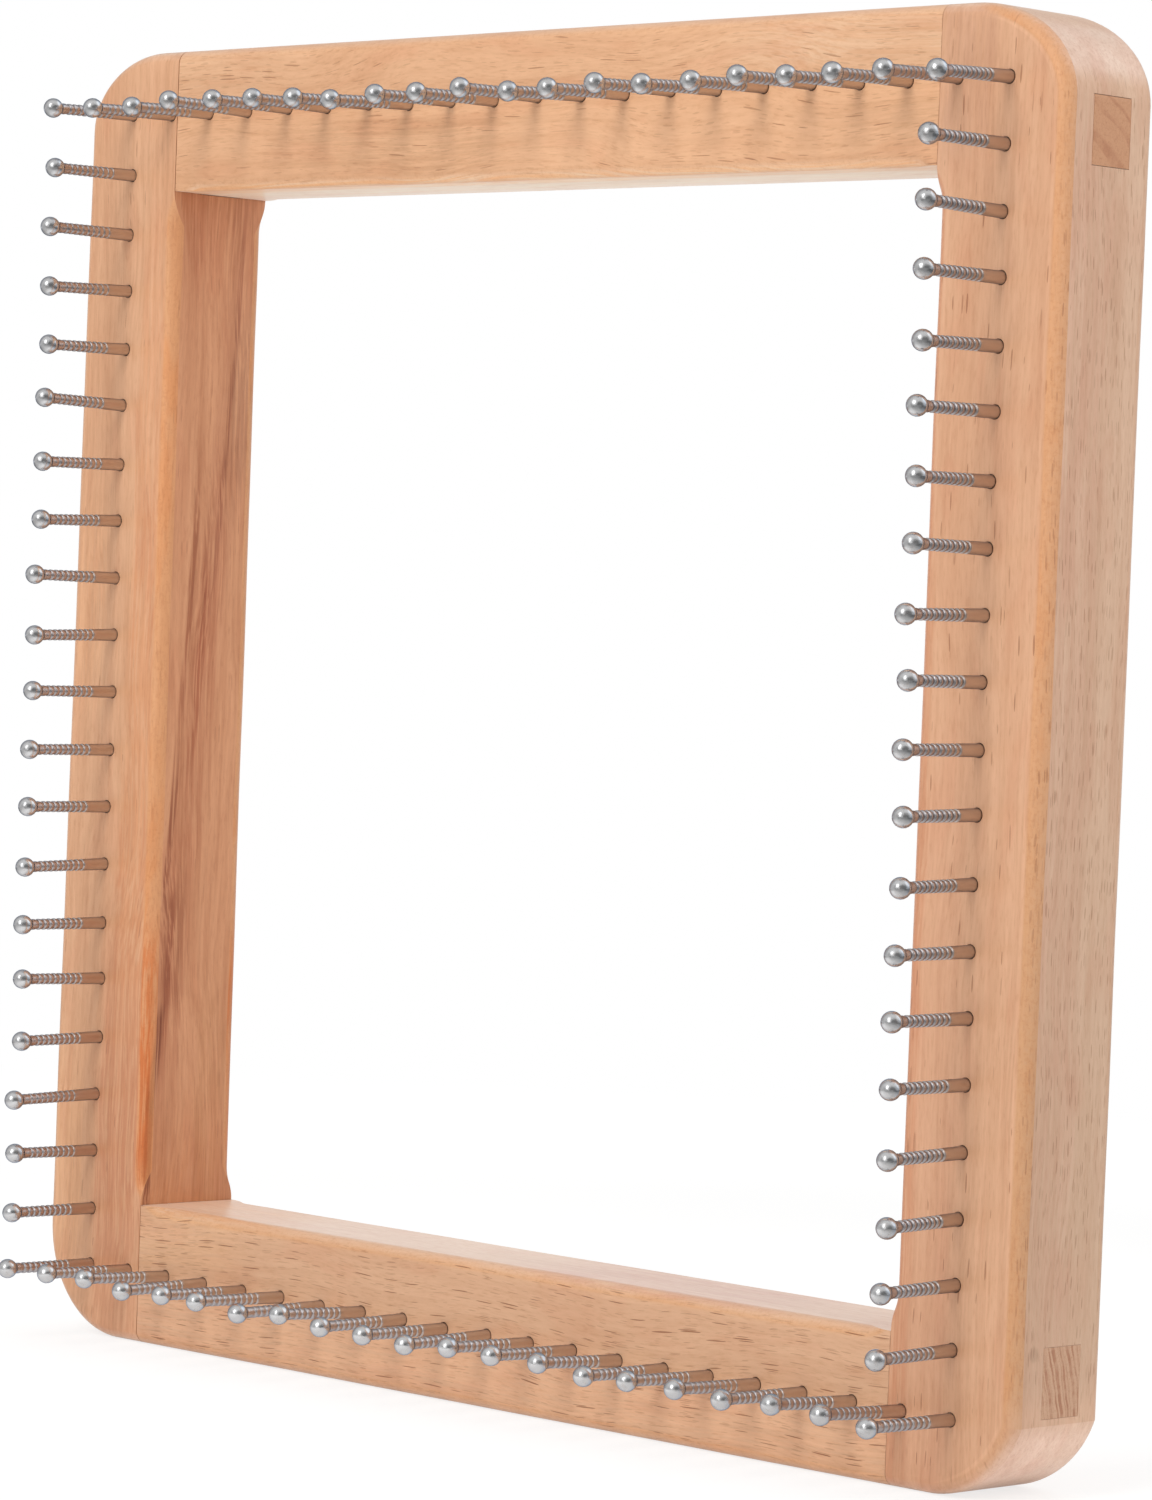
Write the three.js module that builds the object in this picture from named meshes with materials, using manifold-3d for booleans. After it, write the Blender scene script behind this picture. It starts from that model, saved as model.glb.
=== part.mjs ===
// A knitting board: a square beech frame, mortised and tenoned at its corners, with a
// row of ball-headed steel pins along each side.
//
// The board stands on its bottom edge. X runs to the right as seen from the pins' side,
// Y runs from the front face to the back face, and Z is up. The origin is the centre of
// the bottom edge. All sizes are in millimetres.

import * as THREE from 'three';
import { mergeVertices } from 'three/addons/utils/BufferGeometryUtils.js';
import Module from 'manifold-3d';

const wasm = await Module();
wasm.setup();

// Rows of pins
const pinPitch = 10;
const pinIntervals = 20;
const rowMargin = 12;

// Frame members
const memberWidth = 24.5;
const boardThickness = 21;
const cornerRadius = 16;
const easedEdgeRadius = 2.4;
const cutterGuideRadius = 5;

// Through tenons on the rails, flush with the rail's inner edge
const tenonHeight = 10.5;
const tenonThickness = 8.5;
const tenonClearance = 0.1;

// Pins: a ball, a shank that thickens towards the wood, and a buried point
const pinStandout = 18;
const pinBuriedLength = 12;
const pinPointLength = 2.5;
const ballRadius = 1.68;
const shankRadiusAtBall = 0.93;
const shankRadiusAtWood = 1.05;
const pinHoleClearance = 0.25;

// Hidden bridge that carries two neighbouring pins as one piece
const bridgeDepth = 3.5;
const bridgeSection = 0.9;

// Smoothness of the faceted shapes
const cornerSteps = 6;
const easedEdgeSteps = 3;
const pinSides = 10;
const ballSteps = 5;

// How far a cut runs past the faces that it opens, and how close corners have to lie to
// count as one
const cutOverrun = 5;
const mergeDistance = 1e-4;

// Places that follow from the sizes above
const rowLength = pinPitch * pinIntervals;
const boardSide = rowLength + 2 * rowMargin;
const halfSide = boardSide / 2;
const openingSide = boardSide - 2 * memberWidth;
const halfOpening = openingSide / 2;
const frontY = -boardThickness / 2;

const beech = { color: '#d6a474', roughness: 0.55, metalness: 0 };
const polishedSteel = { color: '#c9cacc', roughness: 0.22, metalness: 1 };

// Solids: closed geometries in, joined or cut solids out

function solidFrom(geometry) {
  const bare = geometry.clone();
  bare.deleteAttribute('normal');
  bare.deleteAttribute('uv');
  const merged = mergeVertices(bare, mergeDistance);
  const corners = Array.from(merged.index.array);
  const kept = [];
  for (let i = 0; i < corners.length; i += 3) {
    const [a, b, c] = corners.slice(i, i + 3);
    if (a !== b && b !== c && c !== a) kept.push(a, b, c);
  }
  return new wasm.Manifold(new wasm.Mesh({
    numProp: 3,
    vertProperties: new Float32Array(merged.attributes.position.array),
    triVerts: new Uint32Array(kept),
  }));
}

function geometryFrom(solid) {
  const mesh = solid.getMesh();
  const geometry = new THREE.BufferGeometry();
  geometry.setAttribute('position', new THREE.BufferAttribute(mesh.vertProperties, 3));
  geometry.setIndex(new THREE.BufferAttribute(mesh.triVerts, 1));
  geometry.computeVertexNormals();
  return geometry;
}

function blockBetween(low, high) {
  const size = high.map((value, axis) => value - low[axis]);
  const centre = high.map((value, axis) => (value + low[axis]) / 2);
  const geometry = new THREE.BoxGeometry(...size);
  geometry.translate(...centre);
  return solidFrom(geometry);
}

// The outline of a square with rounded corners, in the board's X and Z

function roundedSquare(side, radius) {
  const points = [];
  const reach = side / 2 - radius;
  const corners = [[1, 1], [-1, 1], [-1, -1], [1, -1]];
  corners.forEach(([signX, signZ], quarter) => {
    for (let step = 0; step <= cornerSteps; step += 1) {
      const angle = (quarter + step / cornerSteps) * Math.PI / 2;
      points.push(new THREE.Vector2(
        signX * reach + radius * Math.cos(angle),
        halfSide + signZ * reach + radius * Math.sin(angle),
      ));
    }
  });
  return points;
}

// The whole square plate, with its corners rounded and its outside edges eased

function easedPlate() {
  const geometry = new THREE.ExtrudeGeometry(new THREE.Shape(roundedSquare(boardSide, cornerRadius)), {
    depth: boardThickness - 2 * easedEdgeRadius,
    bevelEnabled: true,
    bevelThickness: easedEdgeRadius,
    bevelSize: easedEdgeRadius,
    bevelOffset: -easedEdgeRadius,
    bevelSegments: easedEdgeSteps,
  });
  geometry.rotateX(Math.PI / 2);
  geometry.translate(0, boardThickness / 2 - easedEdgeRadius, 0);
  return solidFrom(geometry);
}

// The wood that a rounding cutter takes from the edge of the opening. The cutter's guide
// bearing rolls along the inside faces and is too round to reach into their corners, so
// each ring is a rounded square that flares towards the face. facing is -1 for the front
// face and 1 for the back.

function openingFlare(facing) {
  const rings = [{ depth: -cutOverrun, flare: easedEdgeRadius }];
  for (let step = 0; step <= easedEdgeSteps; step += 1) {
    const angle = step / easedEdgeSteps * Math.PI / 2;
    rings.push({
      depth: easedEdgeRadius * (1 - Math.cos(angle)),
      flare: easedEdgeRadius * (1 - Math.sin(angle)),
    });
  }
  const positions = [];
  rings.forEach(({ depth, flare }) => {
    const y = facing * (boardThickness / 2 - depth);
    roundedSquare(openingSide + 2 * flare, cutterGuideRadius + flare)
      .forEach((point) => positions.push(point.x, y, point.y));
  });
  const around = positions.length / 3 / rings.length;
  const lastRing = around * (rings.length - 1);
  const faces = [];
  for (let i = 0; i < around; i += 1) {
    const next = (i + 1) % around;
    for (let ring = 0; ring < rings.length - 1; ring += 1) {
      const here = ring * around;
      const there = here + around;
      faces.push([here + i, there + i, here + next], [here + next, there + i, there + next]);
    }
  }
  for (let i = 1; i < around - 1; i += 1) {
    faces.push([0, i, i + 1], [lastRing, lastRing + i + 1, lastRing + i]);
  }
  const geometry = new THREE.BufferGeometry();
  geometry.setAttribute('position', new THREE.Float32BufferAttribute(positions, 3));
  geometry.setIndex((facing < 0 ? faces : faces.map(([a, b, c]) => [a, c, b])).flat());
  return solidFrom(geometry);
}

function easedFrame() {
  const opening = blockBetween(
    [-halfOpening, frontY - cutOverrun, halfSide - halfOpening],
    [halfOpening, -frontY + cutOverrun, halfSide + halfOpening],
  );
  return easedPlate().subtract(opening).subtract(openingFlare(-1)).subtract(openingFlare(1));
}

// Pins are drawn standing out from the front face along -Y. A profile point is a radius
// and a distance out of the wood.

function turnedAlongPin(profile) {
  const points = profile.map(([radius, out]) => new THREE.Vector2(radius, out));
  const geometry = new THREE.LatheGeometry(points, pinSides, Math.PI / pinSides);
  geometry.rotateZ(Math.PI);
  return geometry;
}

function pinProfile() {
  const profile = [
    [0, -pinBuriedLength],
    [shankRadiusAtWood, -pinBuriedLength + pinPointLength],
    [shankRadiusAtWood, 0],
  ];
  const neckAngle = Math.asin(shankRadiusAtBall / ballRadius);
  for (let step = 0; step <= ballSteps; step += 1) {
    const angle = neckAngle + (Math.PI - neckAngle) * step / ballSteps;
    const radius = step === ballSteps ? 0 : ballRadius * Math.sin(angle);
    profile.push([radius, pinStandout - ballRadius * Math.cos(angle)]);
  }
  return profile;
}

// A run of neighbouring pins along +X, the first of them at the origin, joined by a
// bridge inside the wood

function pinRunSolid(count) {
  let solid = solidFrom(turnedAlongPin(pinProfile()));
  for (let i = 1; i < count; i += 1) {
    const pin = turnedAlongPin(pinProfile());
    pin.translate(i * pinPitch, 0, 0);
    solid = solid.add(solidFrom(pin));
  }
  if (count > 1) solid = solid.add(bridgeBlock(count, 0));
  return solid;
}

function bridgeBlock(count, clearance) {
  const half = bridgeSection / 2 + clearance;
  return blockBetween([0, bridgeDepth - half, -half], [(count - 1) * pinPitch, bridgeDepth + half, half]);
}

// What a run of pins needs cut from the wood: a round hole for each pin and a channel
// for the bridge

function pinRunCut(count) {
  const holeRadius = shankRadiusAtWood + pinHoleClearance;
  const holeDepth = pinBuriedLength + pinHoleClearance;
  const hole = [[0, -holeDepth], [holeRadius, -holeDepth], [holeRadius, cutOverrun], [0, cutOverrun]];
  let solid = count > 1 ? bridgeBlock(count, pinHoleClearance) : null;
  for (let i = 0; i < count; i += 1) {
    const geometry = turnedAlongPin(hole);
    geometry.translate(i * pinPitch, 0, 0);
    solid = solid ? solid.add(solidFrom(geometry)) : solidFrom(geometry);
  }
  return solid;
}

// Where the pins stand. The rows along the top and bottom cross both stiles and a rail,
// and the rows along the sides fill the stiles between them. Each stretch of a row that
// one member carries is shared out in twos, and a stretch with an odd number ends with a
// pin on its own.

function sharedInTwos(indices) {
  const runs = [];
  for (let i = 0; i < indices.length; i += 2) runs.push(indices.slice(i, i + 2));
  return runs;
}

function pinRuns() {
  const all = Array.from({ length: pinIntervals + 1 }, (_, i) => i);
  const along = (i) => i * pinPitch - rowLength / 2;
  const inRail = all.filter((i) => Math.abs(along(i)) < halfOpening);
  const stretches = [all.slice(0, inRail[0]), inRail, all.slice(inRail[inRail.length - 1] + 1)];
  const betweenRows = all.slice(1, -1);
  const runs = [];
  for (const [row, side] of [['top', 1], ['bottom', -1]]) {
    const z = halfSide + side * rowLength / 2;
    for (const indices of stretches.flatMap(sharedInTwos)) {
      runs.push({ row, indices, x: along(indices[0]), z, turn: 0 });
    }
  }
  for (const [row, side] of [['left', -1], ['right', 1]]) {
    const x = side * rowLength / 2;
    for (const indices of sharedInTwos(betweenRows)) {
      runs.push({ row, indices, x, z: halfSide + along(indices[0]), turn: -Math.PI / 2 });
    }
  }
  return runs;
}

function runName({ row, indices }) {
  const numbers = indices.map((i) => String(i + 1).padStart(2, '0'));
  return `${indices.length > 1 ? 'pins' : 'pin'}_${row}_${numbers.join('_')}`;
}

// Frame members: two stiles that run the board's full height, and two rails between them
// whose tenons pass right through the stiles

const span = (a, b) => [Math.min(a, b), Math.max(a, b)];

function tenonBlock(sideX, sideZ, clearance) {
  const inner = halfOpening - clearance;
  const outer = halfOpening + tenonHeight + clearance;
  const halfThickness = tenonThickness / 2 + clearance;
  const xs = span(sideX * inner, sideX * (halfSide + cutOverrun));
  const zs = span(halfSide + sideZ * inner, halfSide + sideZ * outer);
  return blockBetween([xs[0], -halfThickness, zs[0]], [xs[1], halfThickness, zs[1]]);
}

function stile(frame, sideX) {
  const xs = span(sideX * halfOpening, sideX * (halfSide + cutOverrun));
  const blank = blockBetween(
    [xs[0], frontY - cutOverrun, -cutOverrun],
    [xs[1], -frontY + cutOverrun, boardSide + cutOverrun],
  );
  return frame.intersect(blank)
    .subtract(tenonBlock(sideX, 1, tenonClearance))
    .subtract(tenonBlock(sideX, -1, tenonClearance));
}

function rail(frame, plate, sideZ) {
  const zs = span(halfSide + sideZ * halfOpening, halfSide + sideZ * (halfSide + cutOverrun));
  const blank = blockBetween(
    [-halfOpening, frontY - cutOverrun, zs[0]],
    [halfOpening, -frontY + cutOverrun, zs[1]],
  );
  const tenons = tenonBlock(1, sideZ, 0).add(tenonBlock(-1, sideZ, 0));
  return frame.intersect(blank).add(plate.intersect(tenons));
}

function namedMesh(name, geometry, look) {
  const mesh = new THREE.Mesh(geometry, new THREE.MeshStandardMaterial(look));
  mesh.name = name;
  return mesh;
}

// The board: members drilled for every pin that passes through them, and the pins

const runs = pinRuns();
const runSolids = new Map([1, 2].map((count) => [count, geometryFrom(pinRunSolid(count))]));

const pinGroup = new THREE.Group();
let drilling = null;
for (const run of runs) {
  const mesh = namedMesh(runName(run), runSolids.get(run.indices.length).clone(), polishedSteel);
  mesh.position.set(run.x, frontY, run.z);
  mesh.rotation.y = run.turn;
  pinGroup.add(mesh);
  const cut = geometryFrom(pinRunCut(run.indices.length));
  cut.rotateY(run.turn);
  cut.translate(run.x, frontY, run.z);
  const cutSolid = solidFrom(cut);
  drilling = drilling ? drilling.add(cutSolid) : cutSolid;
}

const frame = easedFrame();
const plate = easedPlate();
const members = {
  stile_left: stile(frame, -1),
  stile_right: stile(frame, 1),
  rail_top: rail(frame, plate, 1),
  rail_bottom: rail(frame, plate, -1),
};

const board = new THREE.Group();
for (const [name, solid] of Object.entries(members)) {
  board.add(namedMesh(name, geometryFrom(solid.subtract(drilling)), beech));
}
board.add(pinGroup);

export default board;
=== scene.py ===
import math
import random

import bmesh
import bpy
from mathutils import Matrix, Vector, noise

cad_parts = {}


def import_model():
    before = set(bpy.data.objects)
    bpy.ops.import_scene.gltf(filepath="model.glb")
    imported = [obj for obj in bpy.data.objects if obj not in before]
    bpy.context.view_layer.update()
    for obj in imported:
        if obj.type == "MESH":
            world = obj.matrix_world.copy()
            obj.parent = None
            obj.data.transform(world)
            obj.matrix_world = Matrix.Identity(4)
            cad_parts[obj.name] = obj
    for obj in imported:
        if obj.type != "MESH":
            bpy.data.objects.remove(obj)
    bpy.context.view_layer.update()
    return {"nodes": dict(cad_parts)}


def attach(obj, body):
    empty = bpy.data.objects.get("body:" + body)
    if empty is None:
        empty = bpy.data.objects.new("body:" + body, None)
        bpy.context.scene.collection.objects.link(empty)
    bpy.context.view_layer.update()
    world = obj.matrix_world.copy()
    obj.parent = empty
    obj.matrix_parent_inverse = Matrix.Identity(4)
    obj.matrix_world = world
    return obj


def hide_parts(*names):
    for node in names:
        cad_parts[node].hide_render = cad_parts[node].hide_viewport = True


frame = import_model()

# A knitting board: a square beech frame with a row of ball-headed, ring-grooved steel
# pins along each side. Shapes are drawn in millimetres and scaled to metres when they
# are done. X runs to the right as seen from the pins' side, Y to the back, Z up.

MM = 0.001
TO_MM = (1000, 1000, 1000)

# Rows of pins
PIN_PITCH = 10
PIN_INTERVALS = 20
ROW_MARGIN = 12

# Frame members
MEMBER_WIDTH = 24.5
THICKNESS = 21
EASED_RADIUS = 2.4
GUIDE_RADIUS = 6
HALF_SIDE = (PIN_PITCH * PIN_INTERVALS + 2 * ROW_MARGIN) / 2
HALF_ROW = PIN_PITCH * PIN_INTERVALS / 2
HALF_OPENING = HALF_SIDE - MEMBER_WIDTH
HALF_THICKNESS = THICKNESS / 2
OVERRUN = 5

# Corners, anticlockwise from the top right: how far each cut reaches along the side before
# it and the side after it, and the angles in degrees at which its curve leaves them
CORNERS = [(14.5, 19.5, 2, 0), (18.5, 13.5, 0, 0), (19.5, 17.5, 0, 0), (16.5, 12.3, 3, 19)]
CORNER_STEPS = 20
EASED_STEPS = 12
ALONG_STEP = 3

# The hand-sanded edges: how much their size varies, over what length, and how far apart the
# variations of two edges are taken. The opening's edges are counted on from the outer ones.
EDGE_WANDER = 0.1
WANDER_LENGTH = 26
WANDER_APART = 7.3
OPENING_EDGES = 5

# Through tenons, flush with their rail's inner edge: their height and the gap round them, for
# the top rail (1) and the bottom rail (-1), and how deep they are rooted in the rail
TENON_HEIGHTS = {1: 10.5, -1: 11.1}
TENON_GAPS = {1: 0.09, -1: 0.04}
TENON_THICKNESS = 8.5
TENON_ROOT = 1

# Gap at each rail's shoulder, and how far back each tenon sits. The first number of a key is
# the right (1) or left (-1) end, the second the top or bottom rail.
SHOULDER_GAPS = {(-1, 1): 0.16, (1, 1): 0.05, (-1, -1): 0.12, (1, -1): 0.05}
TENON_SHIFTS = {(-1, 1): 0.0, (1, 1): 0.2, (-1, -1): 0.0, (1, -1): 0.6}

# How far the real edges run off the true square, towards +X or +Z, at their lower or left
# end and at their other end
OUTER_ERRORS = {"left": (0.26, 0.04), "right": (-0.04, -0.64), "bottom": (0.05, 0.03), "top": (-0.03, -0.07)}
INNER_ERRORS = {"left": (0.9, -1.0), "right": (0.1, -0.97), "bottom": (-0.42, -0.8), "top": (0.22, 0.06)}

# What counts as facing straight along an axis, as tilted off it, and as a crease, in degrees
STRAIGHT = 0.9999
TILTED = 1e-3
CREASE = 9.5

# Pins
PIN_STANDOUT = 18
PIN_BURIED = 12
PIN_POINT = 2.5
POINT_BULGE = (0.55, 0.6)
BALL_RADIUS = 1.68
SHANK_AT_BALL = 0.93
SHANK_AT_WOOD = 1.05
PIN_SIDES = 24
BALL_STEPS = 12

# A small collar under the ball, and where the shank starts to narrow towards it
COLLAR = 0.05
COLLAR_LENGTH = 0.25
NECK_LENGTH = 0.9

# Ring grooves, counted from the ball. From the wood's side each has a flat land, a raised lip
# and a groove, whose steps are given by their place in pitches and their share of the depth.
RING_COUNT = 9
RING_PITCH = 1.16
FIRST_RING = 3.2
RING_DEPTHS = {"left": 0.19, "right": 0.27, "bottom": 0.19, "top": 0.19}
RING_WEAR = 0.5
LAND_FROM = -0.3
LIP_AT = -0.06
LIP_HEIGHT = 0.01
RING_STEPS = [(-0.02, 0.1), (0.01, 0.5), (0.04, 0.9), (0.12, 1), (0.36, 0.5)]

# Holes in the wood, deeper than the pins and flared at the mouth
HOLE_RADIUS = 1.09
HOLE_SIDES = 20
HOLE_SPARE = 0.3
MOUTH_DEPTH = 0.3
MOUTH_FLARE = 0.08

# Errors of hand driving: lean in degrees, then standout and place
TILT_SPREAD = 0.9
LENGTH_SPREAD = 0.5
BASE_SPREAD = 0.22
ROWS_OFF_CENTRE = (0.05, 0.45)

# Mean drift of each row at its first and its last pin: across and up at the wood, then at the
# ball as seen from there
ROW_DRIFT = {
    "left": ((0.2, -0.15, -0.2, 0.0), (0.0, 0.1, 0.1, -0.2)),
    "right": ((-0.1, -0.35, 1.1, -0.1), (0.0, 0.0, 0.5, -0.1)),
    "bottom": ((0.3, -0.1, -0.5, 0.1), (0.1, -0.65, -0.5, 0.4)),
    "top": ((0.0, 0.65, 0.0, -0.65), (0.0, 0.0, 1.3, -0.55)),
}
PIN_SEED = 21

random.seed(PIN_SEED)


# Mesh helpers

def linked(name, mesh):
    obj = bpy.data.objects.new(name, mesh)
    bpy.context.scene.collection.objects.link(obj)
    return obj


def mesh_object(name, points, faces):
    mesh = bpy.data.meshes.new(name)
    mesh.from_pydata(points, [], faces)
    shape = bmesh.new()
    shape.from_mesh(mesh)
    bmesh.ops.recalc_face_normals(shape, faces=shape.faces)
    shape.to_mesh(mesh)
    shape.free()
    return linked(name, mesh)


def lofted(name, rings):
    """A closed solid through rings of the same number of points, with a flat cap at each end."""
    around = len(rings[0])
    points = [point for ring in rings for point in ring]
    faces = []
    for level in range(len(rings) - 1):
        for i in range(around):
            here = level * around + i
            following = level * around + (i + 1) % around
            faces.append((here, following, following + around, here + around))
    faces.append(tuple(reversed(range(around))))
    faces.append(tuple(range((len(rings) - 1) * around, len(rings) * around)))
    return mesh_object(name, points, faces)


def block(low, high):
    points = [(x, y, z) for x in (low[0], high[0]) for y in (low[1], high[1]) for z in (low[2], high[2])]
    faces = [(0, 1, 3, 2), (4, 6, 7, 5), (0, 4, 5, 1), (2, 3, 7, 6), (0, 2, 6, 4), (1, 5, 7, 3)]
    return mesh_object("block", points, faces)


def removed(obj):
    mesh = obj.data
    bpy.data.objects.remove(obj)
    bpy.data.meshes.remove(mesh)


def combined(target, other, operation):
    """target with other joined to it, cut from it or kept in common. other is used up."""
    modifier = target.modifiers.new("combine", "BOOLEAN")
    modifier.operation = operation
    modifier.solver = "MANIFOLD"
    modifier.object = other
    graph = bpy.context.evaluated_depsgraph_get()
    mesh = bpy.data.meshes.new_from_object(target.evaluated_get(graph), depsgraph=graph)
    target.modifiers.clear()
    old = target.data
    target.data = mesh
    bpy.data.meshes.remove(old)
    removed(other)
    return target


def copied(obj):
    return linked(obj.name, obj.data.copy())


# The outline of a square with rounded corners: points with the direction in which an
# inset moves them. A corner with an angle meets its side in a faint crease.

def rounded_corner(half, before, after, leave_before, leave_after):
    """Points and outward directions from the side at x = half to the side at y = half."""
    first, last = math.radians(leave_before), math.radians(leave_after)
    start, end = Vector((half, half - before)), Vector((half - after, half))
    away = Vector((-math.sin(first), math.cos(first)))
    back = Vector((math.cos(last), -math.sin(last)))
    span = end - start
    reach = (span.x * back.y - span.y * back.x) / (away.x * back.y - away.y * back.x)
    middle = start + away * reach
    weight = math.cos((math.pi / 2 - first - last) / 2)
    points = []
    for step in range(CORNER_STEPS + 1):
        t = step / CORNER_STEPS
        shares = ((1 - t) ** 2, 2 * weight * t * (1 - t), t ** 2)
        place = (start * shares[0] + middle * shares[1] + end * shares[2]) / sum(shares)
        travel = (middle - start) * ((1 - t) ** 2 * weight) + (end - start) * (t * (1 - t))
        travel += (end - middle) * (t ** 2 * weight)
        points.append((place, Vector((travel.y, -travel.x)).normalized()))
    return points


def outline(half, corners):
    points = []
    for quarter, corner in enumerate(corners):
        turn = Matrix.Rotation(quarter * math.pi / 2, 2)
        curve = rounded_corner(half, *corner)
        before = corners[quarter - 1][1] - half
        start = curve[0][0].y
        steps = max(2, round((start - before) / ALONG_STEP))
        for step in range(1, steps):
            along = before + (start - before) * step / steps
            points.append((turn @ Vector((half, along)), turn @ Vector((1, 0))))
        for step, (place, normal) in enumerate(curve):
            if step in (0, CORNER_STEPS):
                side = Vector((1, 0)) if step == 0 else Vector((0, 1))
                normal = (normal + side) / (1 + normal.dot(side))
            points.append((turn @ place, turn @ normal))
    return points


def wander(place, kind):
    """How much larger or smaller a hand-sanded edge is at a place on the board."""
    at = Vector((place.x / WANDER_LENGTH, place.y / WANDER_LENGTH, kind * WANDER_APART))
    return 1 + EDGE_WANDER * noise.noise(at)


def ring_at(points, y, inset, kind):
    ring = []
    for place, normal in points:
        size = wander(place, kind)
        moved = place - normal * inset * size
        depth = y
        if abs(y) <= HALF_THICKNESS:
            depth = math.copysign(HALF_THICKNESS - (HALF_THICKNESS - abs(y)) * size, y)
        ring.append((moved.x, depth, moved.y + HALF_SIDE))
    return ring


def eased_plate():
    points = outline(HALF_SIDE, CORNERS)
    rings = []
    for facing in (-1, 1):
        levels = []
        for step in range(EASED_STEPS + 1):
            angle = step / EASED_STEPS * math.pi / 2
            y = facing * (HALF_THICKNESS - EASED_RADIUS * (1 - math.cos(angle)))
            inset = EASED_RADIUS * (1 - math.sin(angle))
            levels.append(ring_at(points, y, inset, facing))
        rings += levels if facing < 0 else reversed(levels)
    return lofted("plate", rings)


def opening_flare(facing):
    """What the rounding cutter takes from the opening's edge. Its guide can't reach into the corners."""
    corners = [(GUIDE_RADIUS, GUIDE_RADIUS, 0, 0)] * 4
    points = outline(HALF_OPENING, corners)
    kind = facing + OPENING_EDGES
    rings = [ring_at(points, facing * (HALF_THICKNESS + OVERRUN), -EASED_RADIUS, kind)]
    for step in range(EASED_STEPS + 1):
        angle = step / EASED_STEPS * math.pi / 2
        y = facing * (HALF_THICKNESS - EASED_RADIUS * (1 - math.cos(angle)))
        rings.append(ring_at(points, y, -EASED_RADIUS * (1 - math.sin(angle)), kind))
    return lofted("flare", rings)


def eased_frame(plate):
    body = copied(plate)
    low = (-HALF_OPENING, -HALF_THICKNESS - OVERRUN, HALF_SIDE - HALF_OPENING)
    high = (HALF_OPENING, HALF_THICKNESS + OVERRUN, HALF_SIDE + HALF_OPENING)
    combined(body, block(low, high), "DIFFERENCE")
    combined(body, opening_flare(-1), "DIFFERENCE")
    combined(body, opening_flare(1), "DIFFERENCE")
    return body


# The frame as it was made: its edges run a little off the true square

def between(value, low, high, at_low, at_high):
    return at_low + (at_high - at_low) * (value - low) / (high - low)


def edge_error(across, along, low_side, high_side):
    """How far a place moves across, from the errors of the outer and inner edges on both sides of it."""
    stops = [(-HALF_SIDE, OUTER_ERRORS[low_side]), (-HALF_OPENING, INNER_ERRORS[low_side]),
             (HALF_OPENING, INNER_ERRORS[high_side]), (HALF_SIDE, OUTER_ERRORS[high_side])]
    moves = [between(along, -HALF_ROW, HALF_ROW, *errors) for place, errors in stops]
    across = min(max(across, -HALF_SIDE), HALF_SIDE)
    for i in range(3):
        if across <= stops[i + 1][0]:
            return between(across, stops[i][0], stops[i + 1][0], moves[i], moves[i + 1])
    return moves[3]


def as_made(piece):
    for vertex in piece.data.vertices:
        x, z = vertex.co.x, vertex.co.z - HALF_SIDE
        vertex.co.x += edge_error(x, z, "left", "right")
        vertex.co.z += edge_error(z, x, "bottom", "top")


# Pins: places, small errors of hand driving, and turned shapes

def pin_places():
    places = []
    for number in range(1, PIN_INTERVALS + 2):
        along = (number - 1) * PIN_PITCH - HALF_ROW
        places.append(("top", number, along, HALF_SIDE + HALF_ROW))
        places.append(("bottom", number, along, HALF_SIDE - HALF_ROW))
        if 1 < number <= PIN_INTERVALS:
            places.append(("left", number, -HALF_ROW, HALF_SIDE + along))
            places.append(("right", number, HALF_ROW, HALF_SIDE + along))
    driven = []
    for row, number, x, z in places:
        first, last = (Vector(drift) for drift in ROW_DRIFT[row])
        base_x, base_z, ball_x, ball_z = first.lerp(last, (number - 1) / PIN_INTERVALS)
        driven.append({
            "row": row,
            "number": number,
            "x": x + ROWS_OFF_CENTRE[0] + base_x + random.uniform(-1, 1) * BASE_SPREAD,
            "z": z + ROWS_OFF_CENTRE[1] + base_z + random.uniform(-1, 1) * BASE_SPREAD,
            "lean_x": math.radians(random.gauss(0, TILT_SPREAD)) + ball_x / PIN_STANDOUT,
            "lean_z": math.radians(random.gauss(0, TILT_SPREAD)) - ball_z / PIN_STANDOUT,
            "out": PIN_STANDOUT - random.random() * LENGTH_SPREAD,
            "turn": random.random() * math.tau,
        })
    for pin in driven:
        pin["ring_depth"] = RING_DEPTHS[pin["row"]] * (1 - RING_WEAR * random.random() ** 2)
    return driven


def shank_radius(out):
    share = min(max(out / (PIN_STANDOUT - BALL_RADIUS), 0), 1)
    return SHANK_AT_WOOD + (SHANK_AT_BALL - SHANK_AT_WOOD) * share


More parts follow.
